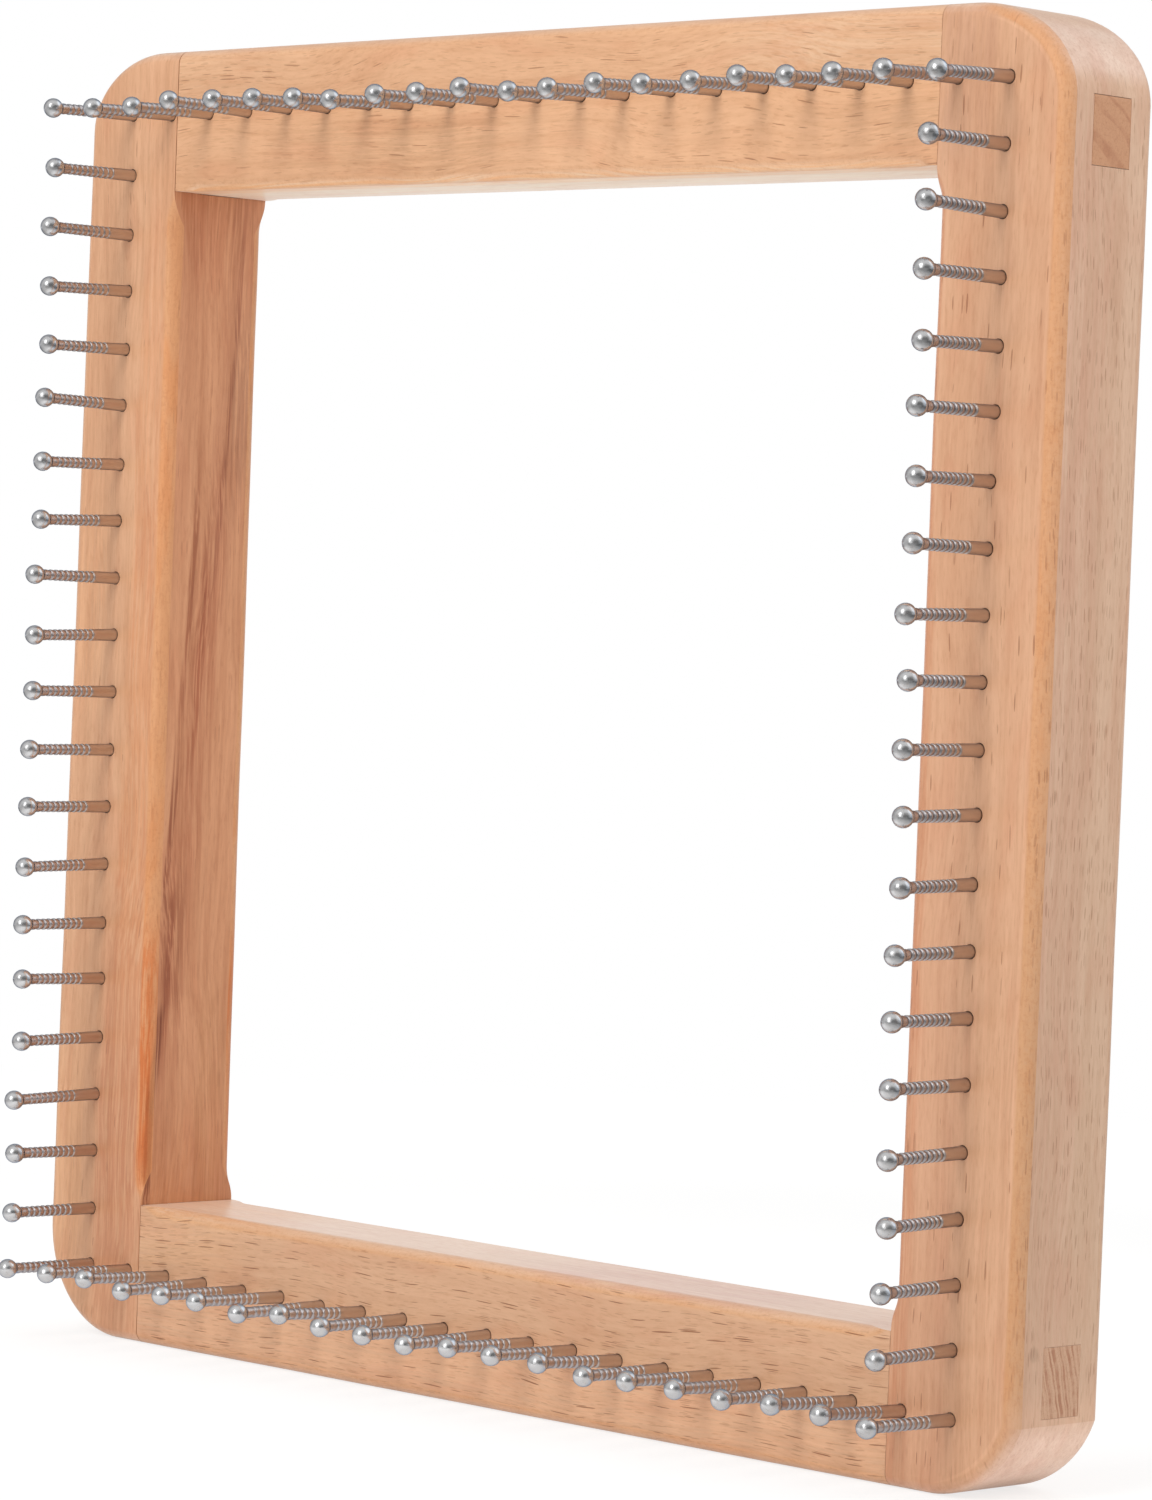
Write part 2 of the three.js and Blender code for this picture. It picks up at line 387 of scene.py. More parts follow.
def pin_profile(standout, ring_depth):
    """Radius and distance out of the wood, from the buried point to the top of the ball."""
    width, height = POINT_BULGE
    profile = [(0.0, -PIN_BURIED), (SHANK_AT_WOOD * width, -PIN_BURIED + PIN_POINT * height)]
    profile.append((SHANK_AT_WOOD, -PIN_BURIED + PIN_POINT))
    profile.append((SHANK_AT_WOOD, 0.0))
    rings = [standout - FIRST_RING - RING_PITCH * i for i in range(RING_COUNT)]
    for out in reversed(rings):
        radius = shank_radius(out)
        profile.append((radius, out + RING_PITCH * LAND_FROM))
        profile.append((radius + LIP_HEIGHT, out + RING_PITCH * LIP_AT))
        for place, depth in RING_STEPS:
            profile.append((radius - ring_depth * depth, out + RING_PITCH * place))
    neck = math.asin(SHANK_AT_BALL / BALL_RADIUS)
    under_ball = standout - BALL_RADIUS * math.cos(neck)
    profile.append((shank_radius(under_ball - NECK_LENGTH), under_ball - NECK_LENGTH))
    profile.append((SHANK_AT_BALL, under_ball - COLLAR_LENGTH))
    profile.append((SHANK_AT_BALL + COLLAR, under_ball - COLLAR))
    for step in range(1, BALL_STEPS + 1):
        angle = neck + (math.pi - neck) * step / BALL_STEPS
        radius = 0.0 if step == BALL_STEPS else BALL_RADIUS * math.sin(angle)
        profile.append((radius, standout - BALL_RADIUS * math.cos(angle)))
    return profile


def turned(profile, sides):
    points = []
    rows = []
    for radius, out in profile:
        count = 1 if radius == 0 else sides
        rows.append(range(len(points), len(points) + count))
        for side in range(count):
            angle = side / sides * math.tau
            points.append(Vector((radius * math.cos(angle), -out, radius * math.sin(angle))))
    faces = []
    for below, above in zip(rows, rows[1:]):
        for side in range(sides):
            following = (side + 1) % sides
            corners = [below[side % len(below)], below[following % len(below)]]
            corners += [above[following % len(above)], above[side % len(above)]]
            face = tuple(dict.fromkeys(corners))
            faces.append(face)
    return points, faces


def driven_in(pin, points):
    spin = Matrix.Rotation(pin["turn"], 3, "Y")
    lean = Matrix.Rotation(pin["lean_x"], 3, "Z") @ Matrix.Rotation(pin["lean_z"], 3, "X")
    base = Vector((pin["x"], -HALF_THICKNESS, pin["z"]))
    return [base + lean @ (spin @ point) for point in points]


def hole_profile():
    bottom = -PIN_BURIED - HOLE_SPARE
    mouth = HOLE_RADIUS + MOUTH_FLARE
    return [(0.0, bottom), (HOLE_RADIUS, bottom), (HOLE_RADIUS, -MOUTH_DEPTH), (mouth, 0.0),
            (mouth, OVERRUN), (0.0, OVERRUN)]


def drilling(pins):
    points = []
    faces = []
    hole_points, hole_faces = turned(hole_profile(), HOLE_SIDES)
    for pin in pins:
        start = len(points)
        points += driven_in(pin, hole_points)
        faces += [tuple(start + corner for corner in face) for face in hole_faces]
    return mesh_object("drilling", points, faces)


# Frame members

def tenon_block(side_x, side_z, clearance):
    """The space of one tenon, or of its mortise when there is a clearance."""
    inner = HALF_OPENING - clearance
    outer = HALF_OPENING + TENON_HEIGHTS[side_z] + clearance
    half = TENON_THICKNESS / 2 + clearance
    back = TENON_SHIFTS[(side_x, side_z)]
    xs = sorted((side_x * (HALF_OPENING - TENON_ROOT), side_x * (HALF_SIDE + OVERRUN)))
    zs = sorted((HALF_SIDE + side_z * inner, HALF_SIDE + side_z * outer))
    return block((xs[0], back - half, zs[0]), (xs[1], back + half, zs[1]))


def stile(body, side_x, pins):
    xs = sorted((side_x * HALF_OPENING, side_x * (HALF_SIDE + OVERRUN)))
    piece = copied(body)
    reach = HALF_THICKNESS + OVERRUN
    bar = block((xs[0], -reach, -OVERRUN), (xs[1], reach, 2 * HALF_SIDE + OVERRUN))
    combined(piece, bar, "INTERSECT")
    for side_z, gap in TENON_GAPS.items():
        combined(piece, tenon_block(side_x, side_z, gap), "DIFFERENCE")
    as_made(piece)
    combined(piece, drilling(pins), "DIFFERENCE")
    return piece


def rail(body, plate, side_z, pins):
    zs = sorted((HALF_SIDE + side_z * HALF_OPENING, HALF_SIDE + side_z * (HALF_SIDE + OVERRUN)))
    piece = copied(body)
    reach = HALF_THICKNESS + OVERRUN
    left = -HALF_OPENING + SHOULDER_GAPS[(-1, side_z)]
    right = HALF_OPENING - SHOULDER_GAPS[(1, side_z)]
    combined(piece, block((left, -reach, zs[0]), (right, reach, zs[1])), "INTERSECT")
    for side_x in (-1, 1):
        tenon = copied(plate)
        combined(tenon, tenon_block(side_x, side_z, 0), "INTERSECT")
        combined(piece, tenon, "UNION")
    as_made(piece)
    combined(piece, drilling(pins), "DIFFERENCE")
    return piece


def kind_of(normal):
    """Flat face, flat wall, rounded corner or eased edge."""
    if abs(normal.y) > STRAIGHT:
        return "face"
    if abs(normal.y) > TILTED:
        return "eased"
    if max(abs(normal.x), abs(normal.z)) > STRAIGHT:
        return "wall"
    return "corner"


def mark_creases(shape):
    for edge in shape.edges:
        kinds = {kind_of(face.normal) for face in edge.link_faces}
        angle = edge.calc_face_angle(0)
        edge.smooth = len(kinds) == 1 and angle < math.radians(CREASE)


def finished(piece, name, material, node, creased=True):
    """Smooths what is round, scales to metres, and puts the piece on its body in a node's place."""
    shape = bmesh.new()
    shape.from_mesh(piece.data)
    for face in shape.faces:
        face.smooth = True
    if creased:
        mark_creases(shape)
    shape.to_mesh(piece.data)
    shape.free()
    piece.data.transform(Matrix.Scale(MM, 4))
    piece.name = name
    piece.data.name = name
    piece.data.materials.clear()
    piece.data.materials.append(material)
    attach(piece, "root")
    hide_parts(node)


# Node helpers

def linear(red, green, blue):
    """A colour as seen on a screen, 0 to 255, as the shader's own numbers."""
    parts = []
    for part in (red / 255, green / 255, blue / 255):
        parts.append(part / 12.92 if part <= 0.04045 else ((part + 0.055) / 1.055) ** 2.4)
    return (*parts, 1)


class Tree:
    def __init__(self, owner):
        owner.use_nodes = True
        self.tree = owner.node_tree
        self.tree.nodes.clear()

    def put(self, socket, value):
        if isinstance(value, bpy.types.NodeSocket):
            self.tree.links.new(value, socket)
        else:
            socket.default_value = value

    def node(self, kind, inputs=None, **settings):
        made = self.tree.nodes.new(kind)
        for key, value in settings.items():
            setattr(made, key, value)
        for key, value in (inputs or {}).items():
            self.put(made.inputs[key], value)
        return made

    def math(self, operation, *values):
        made = self.node("ShaderNodeMath", dict(enumerate(values)), operation=operation)
        return made.outputs[0]

    def times(self, a, b):
        return self.math("MULTIPLY", a, b)

    def plus(self, a, b):
        return self.math("ADD", a, b)

    def minus(self, a, b):
        return self.math("SUBTRACT", a, b)

    def vector(self, operation, *values):
        made = self.node("ShaderNodeVectorMath", dict(enumerate(values)), operation=operation)
        return made.outputs["Value" if operation in ("DOT_PRODUCT", "LENGTH") else "Vector"]

    def split(self, vector):
        return self.node("ShaderNodeSeparateXYZ", {0: vector}).outputs

    def joined(self, x, y, z):
        return self.node("ShaderNodeCombineXYZ", {0: x, 1: y, 2: z}).outputs[0]

    def step(self, value, low, high, to_low=0.0, to_high=1.0):
        """A smooth step from to_low at low to to_high at high. Both may run downwards."""
        inputs = {"Value": value, "From Min": low, "From Max": high, "To Min": to_low, "To Max": to_high}
        return self.node("ShaderNodeMapRange", inputs, interpolation_type="SMOOTHSTEP").outputs["Result"]

    def mix(self, factor, a, b, blend="MIX"):
        made = self.node("ShaderNodeMix", {0: factor, 6: a, 7: b}, data_type="RGBA", blend_type=blend)
        return made.outputs[2]

    def noise(self, vector, scale=1.0, detail=2.0, roughness=0.5):
        inputs = {"Vector": vector, "Scale": scale, "Detail": detail, "Roughness": roughness}
        return self.node("ShaderNodeTexNoise", inputs).outputs["Fac"]

    def noise_line(self, value, scale):
        inputs = {"W": value, "Scale": scale, "Detail": 2.0}
        return self.node("ShaderNodeTexNoise", inputs, noise_dimensions="1D").outputs["Fac"]

    def cells(self, vector):
        return self.node("ShaderNodeTexVoronoi", {"Vector": vector, "Scale": 1.0}).outputs

    def surface(self, shader):
        self.node("ShaderNodeOutputMaterial", {"Surface": shader})


# Beech. These tints, and those of streaks, multiply the tone of the wood.

BEECH_DASH = (0.5, 0.36, 0.27)
BEECH_LIGHTER = (1.07, 1.09, 1.11)
BEECH_DARKER = (0.88, 0.81, 0.76)
BEECH_REDDER = (0.93, 0.8, 0.76)
BEECH_ORANGE = (0.98, 0.78, 0.56)
BEECH_RING = (0.72, 0.55, 0.47)

# A dash's cell reaches half its size to each side, and a dash is this thick in the wood
DASH_REACH = 0.52
DASH_THICKNESS = 5.0

# Keeps the sway of two bands apart
BAND_APART = 31.7

# Depth of the fine relief of wood and steel, in metres
RELIEF = 0.00012


class Beech:
    """Beech as a solid wood, with streaks, dashes and fibres along the grain and rings round a pith.

    Each face has a tone of its own. This is partly the wood, since a plank looks different along its rings,
    across them and at its ends, and partly painted light: paler tones on sides, tops, undersides and the
    stiles' ends stand for painted sheen and light bounced from the floor, and the darker, redder tones of
    the stiles' faces in the opening partly for painted shade. outward is the sign of the member's side of
    the board, along the axis across the grain. The raw coordinates are the board's own. The others are moved
    by an offset and swayed across the grain, so that no two members have the same grain."""

    def __init__(self, name, upright, outward, tones, pith, offset, waves=5.0):
        self.material = bpy.data.materials.new(name)
        self.tree = tree = Tree(self.material)
        self.pith = pith
        coordinates = tree.node("ShaderNodeTexCoord").outputs
        raw = tree.vector("MULTIPLY", coordinates["Object"], TO_MM)
        self.place = tree.vector("ADD", raw, offset)
        x, depth, z = tree.split(self.place)
        raw_x, self.raw_depth, raw_z = tree.split(raw)
        self.along, across = (z, x) if upright else (x, z)
        self.raw_along, self.raw_across = (raw_z, raw_x) if upright else (raw_x, raw_z)
        far_apart = tree.joined(tree.times(self.along, 0.02), tree.times(across, 0.05),
                                tree.times(depth, 0.05))
        wave = tree.minus(tree.noise(far_apart, detail=1.0), 0.5)
        self.across = tree.math("MULTIPLY_ADD", wave, waves, across)
        self.depth = tree.math("MULTIPLY_ADD", wave, -waves, depth)
        normal_x, normal_y, normal_z = tree.split(coordinates["Normal"])
        sideways = tree.times(normal_x if upright else normal_z, outward)
        lengthwise = tree.math("ABSOLUTE", normal_z if upright else normal_x)
        flat = tree.math("ABSOLUTE", normal_y)
        self.front = tree.step(flat, 0.6, 0.95)
        self.outer = tree.step(sideways, 0.35, 0.85)
        self.inner = tree.step(sideways, -0.35, -0.85)
        off_front = tree.step(flat, 0.8, 0.3, 0.15, 1.0)
        self.end = tree.times(tree.step(lengthwise, 0.22, 0.5), off_front)
        self.cut_across = tree.step(lengthwise, 0.8, 0.95)
        lean = tree.times(flat, tree.minus(1.0, flat))
        self.eased = tree.step(lean, 0.004, 0.07)
        self.eased_outer = tree.times(self.eased, tree.step(sideways, 0.02, 0.15))
        self.eased_inner = tree.times(self.eased, tree.step(sideways, -0.02, -0.15))
        # Painted highlight: a thin strip where a flat face turns into its eased edge.
        rim = tree.times(tree.step(flat, 0.9995, 0.997), tree.step(flat, 0.96, 0.985))
        self.outer_rim_highlight = tree.times(rim, tree.step(sideways, 0.02, 0.05))
        self.fuzz = tree.noise(self.place, scale=1.6, detail=3.0, roughness=0.7)
        self.colour = tree.mix(self.outer, tones["front"], tones["outer"])
        self.colour = tree.mix(self.inner, self.colour, tones["inner"])
        self.colour = tree.mix(self.end, self.colour, tones["end"])

    def tint(self, mask, colour, amount=1.0):
        factor = self.tree.times(mask, amount)
        self.colour = self.tree.mix(factor, self.colour, (*colour, 1), blend="MULTIPLY")

    def lateral(self, face):
        """The coordinate that runs across the grain on a face."""
        return self.raw_depth if face is self.inner or face is self.outer else self.raw_across

    def stretched(self, along, across, depth=None):
        """A place in the wood, scaled along the grain, across it and through the thickness."""
        scaled_along = self.tree.times(self.along, along)
        scaled_across = self.tree.times(self.across, across)
        scaled_depth = self.tree.times(self.depth, across if depth is None else depth)
        return self.tree.joined(scaled_along, scaled_across, scaled_depth)

    def streaks(self, broad, narrow, inner=1.0):
        """Bands and streaks of lighter and darker wood. inner makes them stronger on the inner face."""
        tree = self.tree
        stronger = tree.math("MULTIPLY_ADD", self.inner, inner - 1, 1.0)
        layers = [((0.01, 0.12), 0.38, 0.62, broad), ((0.022, 0.42), 0.38, 0.62, broad * 0.8),
                  ((0.04, 1.3), 0.36, 0.64, narrow)]
        for stretch, low, high, amount in layers:
            field = tree.noise(self.stretched(*stretch), detail=2.0)
            scaled = tree.times(stronger, amount)
            self.tint(tree.times(tree.step(field, 0.5, high), scaled), BEECH_LIGHTER, 0.65)
            self.tint(tree.times(tree.step(field, 0.5, low), scaled), BEECH_DARKER, 0.6)
        cloud = tree.noise(self.stretched(0.05, 0.2), detail=2.0)
        self.tint(tree.step(cloud, 0.5, 0.66), BEECH_REDDER, 0.35)

    def dashes(self, amount, length, width, share, sideways=False):
        """Short dark ray flecks along the grain, on the front and back or on the sides."""
        tree = self.tree
        sizes = (length, DASH_THICKNESS, width) if sideways else (length, width, DASH_THICKNESS)
        cells = tree.cells(self.stretched(*(DASH_REACH / size for size in sizes)))
        chance, reach, dark = tree.split(cells["Color"])
        near = tree.minus(tree.step(reach, 0.0, 1.0, 0.2, 0.42), cells["Distance"])
        chosen = tree.step(chance, 1 - share, 1 - share * 0.8)
        mark = tree.times(tree.step(near, 0.0, 0.07), chosen)
        mark = tree.times(mark, tree.step(dark, 0.0, 1.0, 0.4, 1.0))
        beside = tree.math("MAXIMUM", self.inner, self.outer)
        shown = beside if sideways else tree.minus(1.0, beside)
        shown = tree.minus(shown, tree.times(self.end, shown))
        mark = tree.times(mark, shown)
        self.tint(mark, BEECH_DASH, amount)
        return mark

    def end_rings(self, amount, pitch, tone, spread=(0.5, 0.66)):
        """Growth rings where the grain is cut straight across, as on a tenon's end, and pores."""
        tree = self.tree
        self.colour = tree.mix(self.cut_across, self.colour, tone)
        away = tree.joined(0.0, tree.minus(self.raw_across, self.pith[0]),
                           tree.minus(self.raw_depth, self.pith[1]))
        wobble = tree.times(tree.noise(self.place, scale=0.2, detail=1.0), 1.6)
        distance = tree.plus(tree.vector("LENGTH", away), wobble)
        line = tree.noise_line(distance, scale=1 / pitch)
        broken = tree.step(tree.noise(self.place, scale=0.5, detail=2.0), 0.35, 0.6, 0.35, 1.0)
        mask = tree.times(tree.times(tree.step(line, *spread), self.cut_across), broken)
        self.tint(mask, BEECH_RING, amount)
        pores = tree.noise(self.place, scale=4.0, detail=2.0)
        self.tint(tree.times(tree.step(pores, 0.54, 0.72), self.end), BEECH_DARKER, 0.8)

    def joint_line(self, side, width, amount):
        """A dark, broken line where a rail's shoulder meets the stile of one side."""
        tree = self.tree
        place = HALF_OPENING if side == "right" else -HALF_OPENING
        below, above = (place + error for error in INNER_ERRORS[side])
        slope = (above - below) / (2 * HALF_ROW)
        middle = below - slope * (HALF_SIDE - HALF_ROW)
        line = tree.math("MULTIPLY_ADD", self.raw_across, slope, middle)
        off = tree.minus(self.raw_along, line)
        near = tree.step(tree.math("ABSOLUTE", off), width, width * 0.3)
        broken = tree.step(tree.noise_line(self.raw_across, scale=0.35), 0.42, 0.55, 0.15, 1.0)
        self.tint(tree.times(near, broken), BEECH_DASH, amount)

    def band(self, face, start, stop, half_width, softness, colour, amount, fade, sway=2.4):
        """A streak of other colour between two places, each given along and across a face.

        fade is how far round its ends it fades, sway how far it strays to the sides."""
        tree = self.tree
        slope = (stop[1] - start[1]) / (stop[0] - start[0])
        middle = tree.math("MULTIPLY_ADD", self.raw_along, slope, start[1] - slope * start[0])
        wobble = tree.noise_line(tree.plus(self.raw_along, start[0] * BAND_APART), scale=0.02)
        middle = tree.plus(middle, tree.math("MULTIPLY_ADD", wobble, sway, -sway / 2))
        off = tree.math("ABSOLUTE", tree.minus(self.lateral(face), middle))
        spread = half_width + softness
        ragged = tree.noise(self.stretched(0.03, 0.9), detail=4.0, roughness=0.65)
        ragged = tree.times(ragged, spread)
        off = tree.plus(off, tree.minus(ragged, spread / 2))
        mask = tree.step(off, spread, half_width)
        strands = tree.noise(self.stretched(0.035, 2.2), detail=2.0)
        mask = tree.times(mask, tree.step(strands, 0.36, 0.56, 0.3, 1.0))
        mask = tree.times(mask, tree.step(self.raw_along, start[0] - fade, start[0] + fade))
        mask = tree.times(mask, tree.step(self.raw_along, stop[0] + fade, stop[0] - fade))
        self.tint(tree.times(mask, face), colour, amount)

    def bands(self, face, streaks):
        """Several streaks on one face, each given as band takes it."""
        for streak in streaks:
            self.band(face, *streak)

    def spot(self, face, along, across, radius, colour, amount):
        """A small round mark at a place given along and across a face."""
        tree = self.tree
        off_along = tree.minus(self.raw_along, along)
        off_across = tree.minus(self.lateral(face), across)
        off = tree.vector("LENGTH", tree.joined(off_along, off_across, 0.0))
        mask = tree.step(off, radius, radius * 0.4)
        self.tint(tree.times(mask, face), colour, amount)

    def sanded_edge(self, where, tone, amount, spots=0.0, at_corner=0.25):
        """An eased edge takes more oil than a face. It is warmer, finely mottled and spotted.

        at_corner is the share of it that is left where the edge turns into end grain."""
        tree = self.tree
        mask = tree.times(where, tree.step(self.fuzz, 0.2, 0.6, 0.75, 1.0))
        mask = tree.times(mask, tree.math("MULTIPLY_ADD", self.end, at_corner - 1, 1.0))
        self.colour = tree.mix(tree.times(mask, amount), self.colour, tone)
        speckle = tree.times(tree.step(self.fuzz, 0.5, 0.66), where)
        self.tint(speckle, BEECH_DARKER, 0.5)
        patchy = tree.noise(self.stretched(0.06, 0.25), detail=3.0)
        self.tint(tree.times(tree.step(patchy, 0.5, 0.66), where), BEECH_ORANGE, spots)

    def finished(self, marks):
        """The material, with fine fibres in its colour, its relief and its gloss. marks are sunk."""
        tree = self.tree
        fibre = tree.noise(self.stretched(0.4, 2.6), detail=3.0, roughness=0.6)
        self.tint(tree.step(fibre, 0.5, 0.7), BEECH_DARKER, 0.6)
        self.tint(tree.step(fibre, 0.5, 0.32), BEECH_LIGHTER, 0.4)
        height = tree.minus(tree.times(fibre, 0.5), tree.times(marks, 0.6))
        frayed = tree.times(tree.math("MAXIMUM", self.eased, self.end), self.fuzz)
        height = tree.plus(height, tree.times(frayed, 1.4))
        bump = tree.node("ShaderNodeBump", {"Strength": 0.3, "Distance": RELIEF, "Height": height})
        roughness = tree.step(fibre, 0.2, 0.8, 0.3, 0.4)
        shader = tree.node("ShaderNodeBsdfPrincipled", {
            "Base Color": self.colour, "Roughness": roughness, "Normal": bump.outputs[0]})
        shader.inputs["Sheen Weight"].default_value = 0.2
        shader.inputs["Sheen Roughness"].default_value = 0.4
        tree.surface(shader.outputs[0])
        return self.material


def left_stile_wood():
    # Tones: the paler outer side and ends stand partly for painted sheen and bounce light, and the darker,
    # redder inner face partly for painted shade and light bounced off the wood.
    tones = {"front": linear(221, 169, 130), "outer": linear(222, 180, 150),
             "inner": linear(211, 151, 111), "end": linear(236, 208, 186)}
    wood = Beech("beech_stile_left", True, -1, tones, (-150, 40), (0, 0, 0), 9.0)
    wood.streaks(0.6, 0.7, 1.4)
    # Bands on the front
    wood.bands(wood.front, [
        ((0, -93.5), (60, -92), 5.5, 1.5, (0.84, 0.68, 0.62), 0.95, 30),
        ((40, -91.5), (200, -91.0), 3.4, 1.6, (0.98, 0.86, 0.78), 0.8, 40),
        ((10, -107), (48, -107), 3.0, 2.0, (1.08, 1.09, 1.05), 1.0, 12),
        ((110, -107), (146, -107), 3.0, 2.0, (1.1, 1.1, 1.07), 1.0, 12),
        ((58, -93), (140, -92), 3.5, 2.0, (0.98, 0.93, 0.88), 1.0, 12)])
    # Darker wood and dark lines on the inner face, and painted shade at its ends, where it meets the rails
    wood.bands(wood.inner, [
        ((40, -7.0), (140, 1.0), 2.4, 2.6, (0.84, 0.73, 0.69), 0.9, 20),
        ((130, 2.0), (205, 8.0), 2.6, 2.4, (0.86, 0.79, 0.78), 0.8, 25),
        ((178, -5.0), (215, -4.0), 6.0, 2.5, (0.88, 0.78, 0.74), 0.7, 20),
        ((108, -5.0), (150, -2.2), 0.35, 0.6, (0.62, 0.44, 0.36), 0.85, 12),
        ((100, -2.6), (138, 0.2), 0.5, 0.8, (0.72, 0.52, 0.44), 0.85, 10),
        ((132, 1.6), (200, 6.6), 0.25, 0.6, (0.68, 0.54, 0.5), 0.8, 15),
        ((76, -7.0), (100, -5.8), 0.35, 0.5, (0.52, 0.34, 0.27), 0.85, 8),
        ((48, -6.6), (80, -5.4), 0.3, 0.6, (0.74, 0.56, 0.5), 0.8, 10),
        # Painted shade: these two bands across the whole face darken and warm it at the inside corners by
        # the rails.
        ((-10, -1.0), (38, -1.0), 9.0, 2.0, (0.93, 0.83, 0.7), 0.8, 12),
        ((188, 0.0), (215, 0.0), 9.0, 2.0, (0.88, 0.78, 0.7), 0.8, 12),
        ((58, -5.4), (80, -5.0), 1.6, 1.4, (0.8, 0.74, 0.7), 1.0, 6),
        ((-10, 6.0), (62, 6.0), 3.5, 2.5, (0.9, 0.88, 0.82), 1.0, 10),
        ((148, 6.5), (176, 7.0), 2.0, 2.0, (0.87, 0.9, 0.92), 1.0, 10)])
    # The stain that crosses the eased edge, with its dark outline
    wood.bands(wood.inner, [
        ((40, -8.8), (58, -7.2), 0.5, 0.6, (0.45, 0.27, 0.2), 0.95, 2, 0.3),
        ((22, -9.2), (42, -8.7), 0.4, 0.5, (0.45, 0.27, 0.2), 0.9, 3, 0.3)])
    wood.sanded_edge(wood.eased_inner, linear(222, 162, 112), 0.6, 0.5)
    wood.band(wood.eased_inner, (26, -88.6), (70, -88.2), 0.9, 1.0, (0.93, 0.6, 0.37), 1.0, 8, 0.8)
    wood.sanded_edge(wood.eased_outer, linear(220, 168, 128), 0.4)
    marks = wood.dashes(0.5, 2.2, 0.2, 0.06)
    wood.dashes(0.3, 2.4, 0.22, 0.14, sideways=True)
    wood.end_rings(0.3, 1.6, linear(214, 170, 136))
    return wood.finished(marks)


def right_stile_wood():
    # Tones: the paler outer side and ends stand partly for painted sheen and bounce light, and the darker
    # inner face partly for painted shade.
    tones = {"front": linear(220, 170, 134), "outer": linear(220, 182, 153),
             "inner": linear(214, 156, 116), "end": linear(234, 204, 184)}
    wood = Beech("beech_stile_right", True, 1, tones, (190, -70), (0, 0, 333))
    wood.streaks(0.5, 0.5)
    wood.bands(wood.front, [
        ((-5, 88.6), (150, 87.4), 1.8, 1.4, (0.92, 0.77, 0.69), 0.8, 25),
        ((-5, 93.5), (108, 93.0), 4.0, 2.0, (0.95, 0.91, 0.91), 0.9, 18),
        ((-5, 106), (84, 105), 4.0, 2.0, (0.93, 0.92, 0.9), 1.0, 18),
        ((200, 92), (230, 92), 4.0, 2.0, (0.93, 0.91, 0.93), 1.0, 8)])
    wood.band(wood.outer, (10, -6.0), (215, -6.0), 5.0, 4.0, (0.98, 0.92, 0.92), 1.0, 20)
    # The outer side is greyer towards the bottom, down to the corner's arc. The arc, which faces the floor,
    # is painted lighter, for light bounced up from the floor.
    tree = wood.tree
    above_arc = tree.step(wood.raw_along, 13, 19)
    lower_half = tree.times(tree.step(wood.raw_along, 190, 10), above_arc)
    wood.tint(tree.times(wood.outer, lower_half), (0.9, 0.92, 0.92))
    # Painted light: the lower corner's arc is lightened for the floor's bounce light.
    wood.tint(tree.times(wood.end, tree.step(wood.raw_along, 19, 14)), (1.05, 1.02, 1.0))
    # The eased edges: the outer one is orange in front, paler at the back and at the bottom
    in_front = tree.step(wood.raw_depth, 2, -2, 0.2, 1.0)
    off_bottom = tree.step(wood.raw_along, 6, 20, 0.2, 1.0)
    front_edge = tree.times(wood.eased_outer, tree.times(in_front, off_bottom))
    wood.sanded_edge(front_edge, linear(219, 160, 113), 0.85, 0.3, 0.8)
    wood.tint(tree.times(front_edge, tree.step(wood.raw_along, 140, 60)), (0.91, 0.95, 0.97))
    wood.sanded_edge(wood.eased_inner, linear(210, 147, 110), 0.85)
    # Painted highlight: a thin lighter line along the outer eased edge.
    wood.tint(wood.outer_rim_highlight, BEECH_LIGHTER, 0.7)
    wood.spot(wood.outer, 22.8, -5.9, 1.5, (0.8, 0.78, 0.76), 0.8)
    wood.dashes(0.5, 1.8, 0.2, 0.6, sideways=True)
    wood.dashes(0.45, 5.0, 0.5, 0.05)
    marks = wood.dashes(0.7, 2.2, 0.22, 0.08)
    wood.end_rings(0.25, 1.6, linear(220, 176, 142))
    return wood.finished(marks)


def top_rail_wood():
    # Tones: the underside (inner) is painted light, pale for light bounced up from the floor, and the top
    # (outer) is partly painted sheen.
    tones = {"front": linear(228, 177, 136), "outer": linear(226, 186, 156),
             "inner": linear(255, 233, 206), "end": linear(216, 172, 138)}
    wood = Beech("beech_rail_top", False, 1, tones, (170, -24), (517, 0, 0), 12.0)
    wood.streaks(0.5, 0.5)
    wood.sanded_edge(wood.eased, linear(228, 176, 132), 0.4)
    wood.band(wood.front, (10, 218), (112, 220), 3.0, 4.0, (1.05, 1.08, 1.1), 1.0, 25)
    wood.bands(wood.inner, [
        ((-105, -7.2), (105, -7.2), 2.4, 2.6, (1.0, 0.79, 0.58), 1.0, 5, 0.6),
        ((-105, 7.5), (105, 7.5), 2.0, 2.6, (1.02, 1.04, 1.13), 1.0, 5, 0.6)])
    wood.bands(wood.front, [
        ((-55, 205.5), (-8, 205.5), 3.0, 3.0, (0.88, 0.86, 0.83), 1.0, 15),
        ((66, 205.5), (100, 205.5), 3.0, 3.0, (0.93, 0.92, 0.91), 1.0, 12),
        ((45, 220), (112, 220), 3.0, 3.0, (1.01, 1.08, 1.16), 1.0, 15),
        ((-95, 220), (-60, 220), 3.0, 3.0, (1.02, 1.07, 1.11), 1.0, 15)])
    wood.dashes(0.3, 1.5, 0.16, 0.7)
    marks = wood.dashes(0.7, 2.8, 0.15, 0.12)
    wood.joint_line("left", 0.3, 0.9)
    wood.joint_line("right", 0.25, 0.5)
    wood.end_rings(0.55, 2.6, linear(206, 152, 114))
    return wood.finished(marks)


